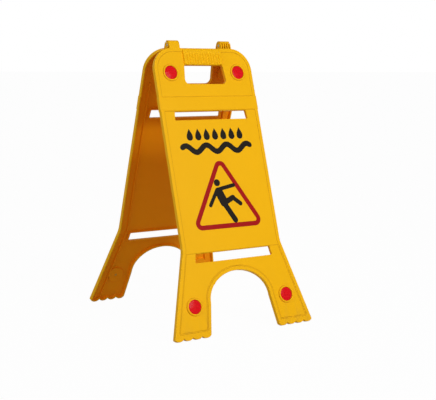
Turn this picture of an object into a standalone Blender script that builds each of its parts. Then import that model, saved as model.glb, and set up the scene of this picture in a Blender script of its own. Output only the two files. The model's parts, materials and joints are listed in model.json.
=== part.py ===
"""Folding wet floor sign: two identical tray-shaped panels, hinged at the top, with round reflectors.

Each panel is modelled flat: X runs across it, Y up it and Z out of its face, and the hinge axis is the
flat frame's X axis. The front panel then leans forwards and the rear panel, the same moulding turned
half round, leans backwards. The origin is on the floor below the hinge axis. Lengths are in metres.
"""

import math

import bmesh
import bpy
from mathutils import Matrix, Vector

# Stance
LEAN = math.radians(18.2)  # angle of each open panel from the vertical
REACH = 0.6438  # hinge axis to the lowest point of a foot, along the panel

# Panel outline
BODY_WIDTH = 0.251
TOP_DROP = 0.010  # hinge axis down to the panel's top edge
TOP_CORNER_RADIUS = 0.050
LEG_START = 0.456  # hinge axis down to where the legs begin to spread
FOOT_WIDTH = 0.352  # across the outer sides of both feet
KNEE_RADIUS = 0.060
LOBES = 4  # scallops under each foot
LOBE_PITCH = 0.0221
LOBE_RADIUS = 0.014
ARCH_TOP = 0.510  # hinge axis down to the crown of the arch
ARCH_RISE = 0.062  # crown down to where the arch's sides run straight
ARCH_WIDTH = 0.153  # where the sides run straight

# Tray section
WALL = 0.003
DEPTH = 0.010  # overall thickness of a panel
FOLD_GAP = 0.0010  # between the two folded panels
RIM_WIDTH = 0.0075
FIELD_DROP = 0.0008  # the message field lies this far below the rim
LEG_DROP = 0.0014  # and the legs this far
BAND_TOP = 0.122  # the proud band between header and message field
BAND_BOTTOM = 0.152
HEADER_TOP = 0.018
RIB_INSET = 0.0205  # panel edge to the inner stiffening rib
RIB_WIDTH = 0.0022
RIB_HEIGHT = 0.004
RIB_TOP = 0.062

# Hand hole and grip
HOLE_TOP = 0.0483
HOLE_HEIGHT = 0.0443
HOLE_TOP_WIDTH = 0.0988
HOLE_BOTTOM_WIDTH = 0.1086
HOLE_TOP_RADIUS = 0.004
HOLE_BOTTOM_RADIUS = 0.011
GRIP_PROUD = 0.003

# Slots under the band and above the legs: distance down, height, width at the top, width at the bottom
SLOTS = ((0.1539, 0.0197, 0.1832, 0.1878), (0.4652, 0.0205, 0.1906, 0.1976))
SLOT_COLLAR = 0.0055  # how far a slot's lip stands behind the face wall
SLOT_CORNER = 0.0015

# Reflectors: distance across and down
REFLECTORS = (("upper", 0.0867, 0.0662), ("lower", 0.1177, 0.5763))
SEAT_RADIUS = 0.0155
SEAT_DEPTH = 0.0040  # below the rim
SEAT_FLOOR = 0.0032
BEZEL_WALL = 0.0030
BEZEL_PROUD = 0.0015  # above the rim
LENS_EDGE = 0.0014
LENS_CROWN = 0.0009
BASE_THICKNESS = 0.0018
PEG_RADIUS = 0.0030
FIT_GAP = 0.0003  # between pieces that touch

# Hinge knuckles
HINGE_CENTRE = 0.0667
RIBS = 5
KNUCKLE_WIDTH = 0.0264
KNUCKLE_RIB = 0.0026
SHELL_WALL = 0.0028
KNUCKLE_SETBACK = 0.0003  # the knuckles stand this far behind the rim
RUNNING_GAP = 0.0004
PIN_RADIUS = 0.0030
SHELL_END = math.radians(125.0)  # how far the hook's shell wraps round the pin
EYE_END = math.radians(261.0)  # where a knuckle's round eye meets its neck

OVERRUN = 0.002  # how far a cutter runs past what it cuts

# Derived
FACE = DEPTH + FOLD_GAP / 2  # the rim's distance out from the hinge axis
BACK = FOLD_GAP / 2  # the skirt's inner edge
HALF_BODY = BODY_WIDTH / 2
HALF_FOOT = FOOT_WIDTH / 2
HALF_ARCH = ARCH_WIDTH / 2
LOBE_SAGITTA = LOBE_RADIUS - math.sqrt(LOBE_RADIUS**2 - (LOBE_PITCH / 2) ** 2)
FOOT_LINE = REACH - LOBE_SAGITTA  # the cusps between the scallops
FOOT_INSIDE = HALF_FOOT - LOBES * LOBE_PITCH
BORE_RADIUS = PIN_RADIUS + FIT_GAP
LENS_RADIUS = SEAT_RADIUS - FIT_GAP
SHELL_RADIUS = FACE - KNUCKLE_SETBACK
SHELL_BORE = SHELL_RADIUS - SHELL_WALL
CORE_RADIUS = SHELL_BORE - RUNNING_GAP
KNUCKLE_FOOT = -TOP_DROP - WALL / 2  # the knuckles stand in the panel's top wall
AXIS_HEIGHT = REACH * math.cos(LEAN) - BACK * math.sin(LEAN)

YELLOW = (0.90, 0.47, 0.004)
RED = (0.62, 0.006, 0.008)
OCHRE = (0.62, 0.31, 0.008)
STEEL = (0.55, 0.55, 0.56)


def clear_scene():
    for obj in list(bpy.data.objects):
        bpy.data.objects.remove(obj, do_unlink=True)


def new_collection(name, hidden=False):
    collection = bpy.data.collections.new(name)
    collection.hide_render = hidden
    bpy.context.scene.collection.children.link(collection)
    return collection


def material(name, colour, roughness, metallic=0.0):
    made = bpy.data.materials.new(name)
    made.use_nodes = True
    shader = made.node_tree.nodes["Principled BSDF"]
    shader.inputs["Base Color"].default_value = (*colour, 1.0)
    shader.inputs["Roughness"].default_value = roughness
    shader.inputs["Metallic"].default_value = metallic
    return made


# Outlines: lists of (x, y) in the panel's flat frame, anticlockwise


def fillet(corners, steps=6):
    """A closed outline from corners (x, y, radius), each rounded by an arc that touches both its sides."""
    points = []
    count = len(corners)
    for i, (x, y, radius) in enumerate(corners):
        here = Vector((x, y))
        if radius <= 0:
            points.append((x, y))
            continue
        before = (Vector(corners[i - 1][:2]) - here).normalized()
        after = (Vector(corners[(i + 1) % count][:2]) - here).normalized()
        half_angle = math.acos(max(-1.0, min(1.0, before.dot(after)))) / 2
        centre = here + (before + after).normalized() * (radius / math.sin(half_angle))
        start = here + before * (radius / math.tan(half_angle)) - centre
        end = here + after * (radius / math.tan(half_angle)) - centre
        turn = math.atan2(start.x * end.y - start.y * end.x, start.dot(end))
        for step in range(steps + 1):
            spoke = Matrix.Rotation(turn * step / steps, 2) @ start
            points.append(tuple(centre + spoke))
    return points


def inset(points, distance):
    """The outline moved inwards by a distance, side by side."""
    moved = []
    count = len(points)
    for i in range(count):
        a, b, c = (Vector(points[(i + k) % count]) for k in (-1, 0, 1))
        along = (b - a).normalized()
        onward = (c - b).normalized()
        inward = Vector((-along.y, along.x))
        next_inward = Vector((-onward.y, onward.x))
        mean = inward + next_inward
        moved.append(tuple(b + mean * (2 * distance / mean.length_squared)))
    return moved


def body_corners(bottom):
    """The panel's right edge as corners, from the bottom up, with the legs filled in."""
    spread = (HALF_FOOT - HALF_BODY) / (REACH - LEG_START)
    foot = HALF_BODY + spread * (bottom - LEG_START)
    return [
        (foot, -bottom, 0.0),
        (HALF_BODY, -LEG_START, KNEE_RADIUS),
        (HALF_BODY, -TOP_DROP, TOP_CORNER_RADIUS),
    ]


def body_outline(bottom, steps=8):
    right = body_corners(bottom)
    left = [(-x, y, radius) for x, y, radius in reversed(right)]
    return fillet(right + left, steps)


def arch_outline(grow=0.0, steps=18):
    """The arch: half an ellipse on sides that run straight down to the feet, or that grown by a wall."""
    across = HALF_ARCH + grow
    rise = ARCH_RISE + grow
    spring = -(ARCH_TOP + ARCH_RISE)
    foot = FOOT_INSIDE + grow
    bottom = -(REACH + OVERRUN)
    crown = [
        (across * math.cos(math.pi * i / steps), spring + rise * math.sin(math.pi * i / steps))
        for i in range(steps + 1)
    ]
    return crown + [(-foot, bottom), (foot, bottom)]


def slot_outline(slot, grow=0.0):
    """A slot, a trapezium a little wider at the bottom, with small corner radii."""
    top, height, top_width, bottom_width = slot
    radius = SLOT_CORNER + grow
    return fillet(
        [
            (-bottom_width / 2 - grow, -top - height - grow, radius),
            (bottom_width / 2 + grow, -top - height - grow, radius),
            (top_width / 2 + grow, -top + grow, radius),
            (-top_width / 2 - grow, -top + grow, radius),
        ],
        3,
    )


def hand_outline(grow=0.0):
    """The hand hole, wider at the bottom and rounder there."""
    top = -HOLE_TOP + grow
    bottom = -HOLE_TOP - HOLE_HEIGHT - grow
    return fillet(
        [
            (-HOLE_BOTTOM_WIDTH / 2 - grow, bottom, HOLE_BOTTOM_RADIUS + grow),
            (HOLE_BOTTOM_WIDTH / 2 + grow, bottom, HOLE_BOTTOM_RADIUS + grow),
            (HOLE_TOP_WIDTH / 2 + grow, top, HOLE_TOP_RADIUS + grow),
            (-HOLE_TOP_WIDTH / 2 - grow, top, HOLE_TOP_RADIUS + grow),
        ],
        5,
    )


def lobe_outline(centre, steps=6):
    """One scallop: the arc below the foot, closed by a tab that runs up into the foot."""
    half = math.asin(LOBE_PITCH / 2 / LOBE_RADIUS)
    middle = -REACH + LOBE_RADIUS
    arc = [-half + 2 * half * i / steps for i in range(steps + 1)]
    points = [
        (centre + LOBE_RADIUS * math.sin(angle), middle - LOBE_RADIUS * math.cos(angle))
        for angle in arc
    ]
    top = -FOOT_LINE + 2 * OVERRUN
    inner = LOBE_PITCH / 2 - OVERRUN
    return points + [(centre + inner, top), (centre - inner, top)]


def band_outline(top, bottom, half_width):
    return [(-half_width, -bottom), (half_width, -bottom), (half_width, -top), (-half_width, -top)]


# Solids in the flat frame


class Maker:
    """Makes pieces in the parts collection and helpers in the cutters collection."""

    def __init__(self):
        self.parts = new_collection("wet_floor_sign")
        self.cutters = new_collection("cutters", hidden=True)

    def helper(self, obj):
        for collection in list(obj.users_collection):
            collection.objects.unlink(obj)
        self.cutters.objects.link(obj)
        obj.hide_render = True
        obj.display_type = "WIRE"
        return obj

    def plate(self, name, outline, low, high):
        """A flat outline made solid between two heights: a filled 2D curve, then a mesh with welded caps."""
        curve = bpy.data.curves.new(name, "CURVE")
        curve.dimensions = "2D"
        curve.fill_mode = "BOTH"
        curve.extrude = (high - low) / 2
        spline = curve.splines.new("POLY")
        spline.points.add(len(outline) - 1)
        for point, (x, y) in zip(spline.points, outline):
            point.co = (x, y, 0.0, 1.0)
        spline.use_cyclic_u = True
        drawn = bpy.data.objects.new(name + "_outline", curve)
        drawn.location.z = (high + low) / 2
        bpy.context.scene.collection.objects.link(drawn)
        bpy.context.view_layer.update()
        graph = bpy.context.evaluated_depsgraph_get()
        mesh = bpy.data.meshes.new_from_object(drawn.evaluated_get(graph))
        mesh.transform(drawn.matrix_world)
        bpy.data.objects.remove(drawn, do_unlink=True)
        bpy.data.curves.remove(curve)
        cage = bmesh.new()
        cage.from_mesh(mesh)
        bmesh.ops.remove_doubles(cage, verts=cage.verts, dist=1e-6)
        bmesh.ops.recalc_face_normals(cage, faces=cage.faces)
        cage.to_mesh(mesh)
        cage.free()
        return self.helper(bpy.data.objects.new(name, mesh))

    def disc(self, name, x, y, radius, low, high, sides=24):
        """A cylinder that stands on the flat frame's face."""
        bpy.ops.mesh.primitive_cylinder_add(
            vertices=sides, radius=radius, depth=high - low, location=(x, y, (high + low) / 2)
        )
        obj = bpy.context.active_object
        obj.name = name
        return self.settled(obj)

    def rod(self, name, x, length, radius, sides=16):
        """A cylinder along the hinge axis."""
        bpy.ops.mesh.primitive_cylinder_add(
            vertices=sides, radius=radius, depth=length, location=(x, 0, 0), rotation=(0, math.pi / 2, 0)
        )
        obj = bpy.context.active_object
        obj.name = name
        return self.settled(obj)

    def cheek(self, name, profile, x, width):
        """A profile of (out, up) points made solid along the hinge axis, centred on x."""
        obj = self.plate(name, profile, -width / 2, width / 2)
        turn = Matrix(((0, 0, 1, x), (0, 1, 0, 0), (1, 0, 0, 0), (0, 0, 0, 1)))
        obj.data.transform(turn)
        obj.data.flip_normals()
        return obj

    def settled(self, obj):
        """The object with its place and turn moved into its mesh."""
        bpy.context.view_layer.update()
        obj.data.transform(obj.matrix_world)
        obj.matrix_world = Matrix.Identity(4)
        return self.helper(obj)

    def combine(self, target, others, operation):
        """Joins the others to the target, or cuts them from it, and removes them."""
        for other in others:
            modifier = target.modifiers.new(other.name, "BOOLEAN")
            modifier.operation = operation
            modifier.solver = "EXACT"
            modifier.object = other
        bpy.context.view_layer.update()
        graph = bpy.context.evaluated_depsgraph_get()
        mesh = bpy.data.meshes.new_from_object(target.evaluated_get(graph))
        target.modifiers.clear()
        target.data = mesh
        for other in others:
            bpy.data.objects.remove(other, do_unlink=True)
        return target

    def join(self, target, others):
        return self.combine(target, others, "UNION")

    def cut(self, target, others):
        return self.combine(target, others, "DIFFERENCE")

    def piece(self, name, mesh, finish, place):
        """A finished sub-part: its mesh, its material and its place."""
        obj = bpy.data.objects.new(name, mesh)
        self.parts.objects.link(obj)
        if not mesh.materials:
            mesh.materials.append(finish)
        obj.matrix_world = place
        return obj


# The panel moulding


def tray(make):
    """The face wall with its skirt round the outline and the arch, feet and collars."""
    shell = make.plate("panel", body_outline(FOOT_LINE), BACK, FACE)
    lobes = [
        make.plate(f"lobe_{side}_{i}", lobe_outline(side * (HALF_FOOT - (i + 0.5) * LOBE_PITCH)), BACK, FACE)
        for side in (-1, 1)
        for i in range(LOBES)
    ]
    make.join(shell, lobes)
    make.cut(shell, [make.plate("arch", arch_outline(), BACK - OVERRUN, FACE + OVERRUN)])
    inside = FACE - WALL
    behind = BACK - OVERRUN
    hollow = make.plate("hollow", inset(body_outline(FOOT_LINE), WALL), behind, inside)
    kept = [
        make.plate("arch_skirt", arch_outline(WALL), behind - OVERRUN, inside + OVERRUN),
        make.plate("hand_collar", hand_outline(WALL), behind - OVERRUN, inside + OVERRUN),
    ]
    for number, slot in enumerate(SLOTS):
        low = inside - SLOT_COLLAR
        kept.append(make.plate(f"slot_collar_{number}", slot_outline(slot, WALL), low, inside + OVERRUN))
    for side in (-1, 1):
        kept.append(make.plate(f"rib_{side}", rib_outline(side), inside - RIB_HEIGHT, inside + OVERRUN))
        for row, x, down in REFLECTORS:
            low = FACE - SEAT_DEPTH - SEAT_FLOOR
            outer = SEAT_RADIUS + BEZEL_WALL
            kept.append(make.disc(f"seat_{row}_{side}", side * x, -down, outer, low, inside + OVERRUN))
    make.cut(hollow, kept)
    return make.cut(shell, [hollow])


def rib_outline(side):
    """The stiffening rib inside one edge: a strip that follows the straight side and then the leg."""
    foot, knee, _ = body_corners(FOOT_LINE - WALL / 2)
    outer = [(foot[0] - RIB_INSET, foot[1]), (knee[0] - RIB_INSET, knee[1]), (knee[0] - RIB_INSET, -RIB_TOP)]
    inner = [(x - RIB_WIDTH, y) for x, y in reversed(outer)]
    strip = outer + inner
    if side > 0:
        return strip
    return [(-x, y) for x, y in reversed(strip)]


def relieve(make, shell):
    """The sunk fields inside the rim: header, message field and legs, with the proud band left between."""
    rim = inset(body_outline(REACH + 0.05), RIM_WIDTH)
    top = FACE + OVERRUN
    fields = (
        ("header_field", HEADER_TOP, BAND_TOP, FIELD_DROP),
        ("message_field", BAND_BOTTOM, SLOTS[1][0], FIELD_DROP),
        ("leg_field", SLOTS[1][0], REACH + OVERRUN, LEG_DROP),
    )
    for name, start, end, drop in fields:
        sunk = make.plate(name, rim, FACE - drop, top)
        keep_low = FACE - drop - OVERRUN
        above = make.plate(name + "_above", band_outline(-0.1, start, 1.0), keep_low, top + OVERRUN)
        below = make.plate(name + "_below", band_outline(end, 1.0, 1.0), keep_low, top + OVERRUN)
        make.cut(sunk, [above, below])
        if name == "leg_field":
            make.cut(sunk, [make.plate("arch_rim", arch_outline(RIM_WIDTH), keep_low, top + OVERRUN)])
        make.cut(shell, [sunk])


def add_grip(make, shell):
    """The proud grip above the hand hole."""
    corners = [
        (-HOLE_TOP_WIDTH / 2, -HOLE_TOP, 0.002),
        (HOLE_TOP_WIDTH / 2, -HOLE_TOP, 0.002),
        (HOLE_TOP_WIDTH / 2, -TOP_DROP, 0.006),
        (-HOLE_TOP_WIDTH / 2, -TOP_DROP, 0.006),
    ]
    grip = make.plate("grip", fillet(corners, 3), FACE - WALL / 2, FACE + GRIP_PROUD)
    make.join(shell, [grip])


def add_seats(make, shell):
    """The round reflector seats: a bezel proud of the face, a recess and a hole for the base's peg."""
    bezels, recesses = [], []
    for side in (-1, 1):
        for row, x, down in REFLECTORS:
            place = (side * x, -down)
            name = f"{row}_{side}"
            outer = SEAT_RADIUS + BEZEL_WALL
            floor = FACE - SEAT_DEPTH
            bezels.append(make.disc("bezel_" + name, *place, outer, FACE - WALL / 2, FACE + BEZEL_PROUD))
            recesses.append(make.disc("recess_" + name, *place, SEAT_RADIUS, floor, FACE + 2 * OVERRUN))
            through = (floor - SEAT_FLOOR - OVERRUN, floor + OVERRUN)
            recesses.append(make.disc("peg_hole_" + name, *place, PEG_RADIUS + FIT_GAP, *through, 12))
    make.join(shell, bezels)
    make.cut(shell, recesses)


def cut_openings(make, shell):
    """The hand hole and the two slots, through everything."""
    low, high = BACK - OVERRUN, FACE + GRIP_PROUD + OVERRUN
    cutters = [make.plate("hand_hole", hand_outline(), low, high)]
    for number, slot in enumerate(SLOTS):
        cutters.append(make.plate(f"slot_{number}", slot_outline(slot), low, high))
    make.cut(shell, cutters)


# The hinge, drawn in profile: (out, up) from the hinge axis


def arc(radius, start, end, steps):
    """Points round the hinge axis, with angles counted from straight out, upwards."""
    return [
        (radius * math.cos(start + (end - start) * i / steps), radius * math.sin(start + (end - start) * i / steps))
        for i in range(steps + 1)
    ]


def rib_profile():
    """A bracket rib: a round eye on a neck, whose shoulder meets the shell's end when the sign is open."""
    stop = math.pi - SHELL_END - 2 * LEAN - math.asin(FIT_GAP / CORE_RADIUS)
    shoulder = arc(SHELL_RADIUS, 0.0, stop, 2)
    eye = arc(CORE_RADIUS, stop, EYE_END, 12)
    return [(BACK, KNUCKLE_FOOT), (SHELL_RADIUS, KNUCKLE_FOOT)] + shoulder + eye


def hook_profile():
    """The hook: a shell round the top of the pin, closed underneath by a round eye."""
    shell = arc(SHELL_RADIUS, 0.0, SHELL_END, 8)
    eye = arc(CORE_RADIUS, SHELL_END, EYE_END, 8)
    return [(BACK, KNUCKLE_FOOT), (SHELL_RADIUS, KNUCKLE_FOOT)] + shell + eye


def rib_room_profile():
    """What is cut from the hook for each of the other panel's ribs: all that lies inside the shell."""
    roof = arc(SHELL_BORE, 0.0, SHELL_END + math.radians(5.0), 8)
    low = KNUCKLE_FOOT - OVERRUN
    far = -SHELL_RADIUS - OVERRUN
    return [(far, low), (SHELL_BORE, low)] + roof + [(far, roof[-1][1] + OVERRUN)]


def add_knuckles(make, shell):
    """The hook at the left of the panel and the ribbed bracket at its right, bored for the pin."""
    pitch = (KNUCKLE_WIDTH - KNUCKLE_RIB) / (RIBS - 1)
    offsets = [(i - (RIBS - 1) / 2) * pitch for i in range(RIBS)]
    room = KNUCKLE_RIB + 2 * RUNNING_GAP
    hook = make.cheek("hook", hook_profile(), -HINGE_CENTRE, KNUCKLE_WIDTH)
    make.cut(hook, [make.cheek(f"room_{x:+.4f}", rib_room_profile(), x - HINGE_CENTRE, room) for x in offsets])
    ribs = [make.cheek(f"rib_{x:+.4f}", rib_profile(), HINGE_CENTRE + x, KNUCKLE_RIB) for x in offsets]
    make.join(shell, [hook] + ribs)
    reach = KNUCKLE_WIDTH + 2 * OVERRUN
    make.cut(shell, [make.rod(f"bore_{x:+.3f}", x, reach, BORE_RADIUS) for x in (-HINGE_CENTRE, HINGE_CENTRE)])


def panel_mesh(make):
    shell = tray(make)
    relieve(make, shell)
    add_grip(make, shell)
    add_seats(make, shell)
    cut_openings(make, shell)
    add_knuckles(make, shell)
    mesh = shell.data
    bpy.data.objects.remove(shell, do_unlink=True)
    mesh.shade_smooth()
    mesh.set_sharp_from_angle(angle=math.radians(30))
    mesh.materials.clear()
    return mesh


# Turned pieces


def turned_mesh(make, name, profile, steps=24):
    """A profile of (radius, height) points, top to bottom, turned about the flat frame's Z."""
    mesh = bpy.data.meshes.new(name)
    edges = [(i, i + 1) for i in range(len(profile) - 1)]
    mesh.from_pydata([(radius, 0.0, height) for radius, height in profile], edges, [])
    obj = bpy.data.objects.new(name, mesh)
    make.helper(obj)
    screw = obj.modifiers.new("turn", "SCREW")
    screw.steps = steps
    screw.render_steps = steps
    screw.use_merge_vertices = True
    screw.merge_threshold = 0.00001
    bpy.context.view_layer.update()
    graph = bpy.context.evaluated_depsgraph_get()
    made = bpy.data.meshes.new_from_object(obj.evaluated_get(graph))
    bpy.data.objects.remove(obj, do_unlink=True)
    made.shade_smooth()
    made.set_sharp_from_angle(angle=math.radians(30))
    return made


def base_mesh(make):
    """The reflector's base: a disc on the seat's floor, with a peg down the seat's hole."""
    floor = FACE - SEAT_DEPTH + FIT_GAP
    top = floor + BASE_THICKNESS
    peg_end = FACE - SEAT_DEPTH - SEAT_FLOOR
    disc = [(0.0, top), (LENS_RADIUS, top), (LENS_RADIUS, floor)]
    profile = disc + [(PEG_RADIUS, floor), (PEG_RADIUS, peg_end), (0.0, peg_end)]
    return turned_mesh(make, "reflector_base", profile)


def lens_mesh(make):
    """The lens: a disc with a low crown."""
    floor = FACE - SEAT_DEPTH + BASE_THICKNESS + 2 * FIT_GAP
    edge = floor + LENS_EDGE
    crown = [
        (LENS_RADIUS * i / 5, edge + LENS_CROWN * (1 - (i / 5) ** 2))
        for i in range(6)
    ]
    return turned_mesh(make, "reflector_lens", crown + [(LENS_RADIUS, floor), (0.0, floor)])


def pin_mesh(make):
    """The hinge pin, with chamfered ends."""
    half = KNUCKLE_WIDTH / 2
    chamfer = PIN_RADIUS / 4
    profile = [
        (0.0, half),
        (PIN_RADIUS - chamfer, half),
        (PIN_RADIUS, half - chamfer),
        (PIN_RADIUS, chamfer - half),
        (PIN_RADIUS - chamfer, -half),
        (0.0, -half),
    ]
    return turned_mesh(make, "hinge_pin", profile, 16)


# Assembly


def panel_place(turned):
    """From the flat frame to the world: stood up, leant over and, for the rear panel, turned half round."""
    half_turn = Matrix.Rotation(math.pi if turned else 0.0, 4, "Z")
    return Matrix.Translation((0, 0, AXIS_HEIGHT)) @ half_turn @ Matrix.Rotation(math.pi / 2 - LEAN, 4, "X")


def main():
    clear_scene()
    make = Maker()
    yellow = material("yellow_plastic", YELLOW, 0.42)
    red = material("red_lens", RED, 0.15)
    ochre = material("ochre_base", OCHRE, 0.45)
    steel = material("pin_steel", STEEL, 0.35, 1.0)
    panel, lens, base, pin = panel_mesh(make), lens_mesh(make), base_mesh(make), pin_mesh(make)
    lay = Matrix.Rotation(math.pi / 2, 4, "Y")
    for end, turned in (("front", False), ("rear", True)):
        place = panel_place(turned)
        make.piece(f"{end}_panel", panel, yellow, place)
        # Seen from the front, the rear panel's own left is on the right.
        sides = (("left", 1 if turned else -1), ("right", -1 if turned else 1))
        for side, sign in sides:
            for row, x, down in REFLECTORS:
                seat = place @ Matrix.Translation((sign * x, -down, 0))
                make.piece(f"{end}_{row}_{side}_reflector_lens", lens, red, seat)
                make.piece(f"{end}_{row}_{side}_reflector_base", base, ochre, seat)
        pin_side = "left" if turned else "right"
        axis = place @ Matrix.Translation((HINGE_CENTRE, 0, 0)) @ lay
        make.piece(f"hinge_pin_{pin_side}", pin, steel, axis)
    bpy.context.view_layer.update()


main()
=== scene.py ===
"""The looks of a folding wet floor sign: two moulded panels, their hinge, red reflectors and the print.

Each panel is built flat: x runs across it, v up it and w out of its face, with the hinge axis at
v = w = 0, and is then leant into place. Lengths are in metres.
"""

import json
import math

import bmesh
import bpy
import numpy as np
from mathutils import Matrix, Vector
from mathutils.geometry import tessellate_polygon


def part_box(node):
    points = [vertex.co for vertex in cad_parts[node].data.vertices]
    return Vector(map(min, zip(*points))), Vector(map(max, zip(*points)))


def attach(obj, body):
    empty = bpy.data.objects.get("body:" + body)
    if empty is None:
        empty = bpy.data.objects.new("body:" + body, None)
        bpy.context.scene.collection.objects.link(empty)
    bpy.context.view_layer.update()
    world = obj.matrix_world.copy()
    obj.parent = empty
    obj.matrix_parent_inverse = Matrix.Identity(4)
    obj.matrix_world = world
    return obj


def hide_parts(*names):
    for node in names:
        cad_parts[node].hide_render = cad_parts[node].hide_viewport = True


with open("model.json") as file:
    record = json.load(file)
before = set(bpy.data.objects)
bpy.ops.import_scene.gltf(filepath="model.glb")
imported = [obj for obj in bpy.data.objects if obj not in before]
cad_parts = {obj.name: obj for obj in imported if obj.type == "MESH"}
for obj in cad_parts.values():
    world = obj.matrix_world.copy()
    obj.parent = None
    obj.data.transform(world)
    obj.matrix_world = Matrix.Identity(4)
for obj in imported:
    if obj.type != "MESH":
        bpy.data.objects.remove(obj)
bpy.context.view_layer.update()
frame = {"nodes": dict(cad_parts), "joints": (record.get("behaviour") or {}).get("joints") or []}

BODIES = (("front", False), ("rear", True))  # each panel's body, and whether it is turned half round

bl_info = {
    "name": "Wet Floor Sign",
    "version": (1, 0, 0),
    "blender": (4, 5, 0),
    "location": "View3D > Sidebar > Floor Sign",
    "description": "Builds a folding wet floor sign round its packed frame",
    "category": "Add Mesh",
}

# From the frame
FOLD = frame["joints"][0]
LEAN = math.radians(abs(FOLD["range_deg"][0])) / 2
AXIS_HEIGHT = FOLD["pos_m"][2]


def panel_place(turned):
    """From the flat frame to the world: stood up, leant over and, for the rear panel, turned half round."""
    half_turn = Matrix.Rotation(math.pi if turned else 0.0, 4, "Z")
    return Matrix.Translation((0, 0, AXIS_HEIGHT)) @ half_turn @ Matrix.Rotation(math.pi / 2 - LEAN, 4, "X")


def centre_of(node):
    low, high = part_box(node)
    return (low + high) / 2


FOOT_WIDTH = (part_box("front_panel")[1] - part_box("front_panel")[0]).x
FLAT = [panel_place(False).inverted() @ v.co for v in frame["nodes"]["front_panel"].data.vertices]
REACH = -min(p.y for p in FLAT)
BACK = min(p.z for p in FLAT if p.y < -0.1)
FACE = BACK + 0.010
TOP = -0.010

# Outline
BODY_WIDTH = 0.251
TOP_CORNER = 0.050
LEG_START = 0.456
KNEE = 0.060
LOBES = 4
LOBE_PITCH = 0.0221
LOBE_RADIUS = 0.014
ARCH_TOP = 0.510
ARCH_RISE = 0.062
ARCH_WIDTH = 0.153
WALL = 0.003
BAND = (0.122, 0.152)
BAND_PROUD = 0.0007
BAND_STAND = 0.0010  # how far the band stands out at the panel's sides
RIM = 0.0075
FIELD = 0.0008
LEGS = 0.0006  # the legs lie this much further back than the message field
HEADER_TOP = 0.018

# Openings: down, height, width at the top, width at the bottom, corner radii at the top and bottom
HAND = (0.0483, 0.0443, 0.0988, 0.1086, 0.004, 0.011)
UPPER_SLOT = (0.1539, 0.0197, 0.1832, 0.1878, 0.0015, 0.0015)
LOWER_SLOT = (0.4656, 0.0201, 0.1906, 0.1976, 0.0015, 0.0015)
SLOT_COLLAR = 0.0055

# Reflectors
SEAT_RADIUS = 0.0155
SEAT_DEPTH = 0.0040
SEAT_FLOOR = 0.0032
BEZEL_WALL = 0.0030
BEZEL_PROUD = 0.0015
LENS_RADIUS = 0.0152

# Hinge
HINGE_X = abs(centre_of("hinge_pin_right").x)
PIN_RADIUS = (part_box("hinge_pin_right")[1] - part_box("hinge_pin_right")[0]).z / 2
KNUCKLE_WIDTH = (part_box("hinge_pin_right")[1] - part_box("hinge_pin_right")[0]).x
SHELL_RADIUS = FACE - 0.0003
SHELL_BORE = SHELL_RADIUS - 0.0028
CORE_RADIUS = SHELL_BORE - 0.0004
SHELL_END = math.radians(125.0)
EYE_END = math.radians(261.0)
KNUCKLE_RIB = 0.0026
RIBS = 5


# Flat geometry: outlines are arrays of points, anticlockwise, and are worked out whole


def rounded(corners, spacing=0.0012):
    """A closed outline from corners (x, v, radius): each corner becomes an arc that touches both its sides,
    centred on the bisector at radius / sin(half angle) from the corner."""
    points = []
    count = len(corners)
    for i, (x, v, radius) in enumerate(corners):
        here = np.array((x, v))
        if radius <= 0:
            points.append(here[None])
            continue
        before = np.array(corners[i - 1][:2]) - here
        after = np.array(corners[(i + 1) % count][:2]) - here
        before, after = before / np.linalg.norm(before), after / np.linalg.norm(after)
        half = math.acos(np.clip(before @ after, -1, 1)) / 2
        bisector = (before + after) / np.linalg.norm(before + after)
        centre = here + bisector * radius / math.sin(half)
        start = here + before * radius / math.tan(half) - centre
        end = here + after * radius / math.tan(half) - centre
        turn = math.atan2(start[0] * end[1] - start[1] * end[0], start @ end)
        steps = max(4, int(abs(turn) * radius / spacing))
        angles = np.linspace(0, turn, steps + 1)[:, None]
        across = np.array((-start[1], start[0]))
        points.append(centre + np.cos(angles) * start + np.sin(angles) * across)
    return np.concatenate(points)


def ring(x, v, radius, count=72):
    """A circle of points round (x, v)."""
    angles = np.linspace(0, 2 * math.pi, count, endpoint=False)
    return np.stack([x + radius * np.cos(angles), v + radius * np.sin(angles)], 1)


def offset(loop, distance):
    """The outline moved inwards by a distance (outwards if negative): each point goes along the mean of its
    two sides' normals, further at a corner so that the sides stay parallel."""
    before = loop - np.roll(loop, 1, 0)
    after = np.roll(loop, -1, 0) - loop
    before = before / np.linalg.norm(before, axis=1, keepdims=True)
    after = after / np.linalg.norm(after, axis=1, keepdims=True)
    normal = np.stack([-(before + after)[:, 1], (before + after)[:, 0]], 1) / 2
    return loop + normal * distance / np.maximum((normal**2).sum(1, keepdims=True), 0.15)


def trapezium(shape, grow=0.0):
    """An opening's outline: down, height, top width, bottom width and the two pairs of corner radii."""
    down, height, top, bottom, top_radius, bottom_radius = shape
    return rounded(
        [
            (-bottom / 2 - grow, -down - height - grow, bottom_radius + grow),
            (bottom / 2 + grow, -down - height - grow, bottom_radius + grow),
            (top / 2 + grow, -down + grow, top_radius + grow),
            (-top / 2 - grow, -down + grow, top_radius + grow),
        ],
        0.0009,
    )


def leg_x(down, inboard=0.0):
    """How far out the leg's outer edge is at a distance down the panel."""
    spread = (FOOT_WIDTH / 2 - BODY_WIDTH / 2) / (REACH - LEG_START)
    return BODY_WIDTH / 2 + spread * max(0.0, down - LEG_START) - inboard


def arch_points(grow=0.0, count=72):
    """Half an ellipse, from the right spring to the left one."""
    angles = np.linspace(0, math.pi, count + 1)
    across, rise = ARCH_WIDTH / 2 + grow, ARCH_RISE + grow
    return np.stack([across * np.cos(angles), rise * np.sin(angles) - ARCH_TOP - ARCH_RISE], 1)


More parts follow.
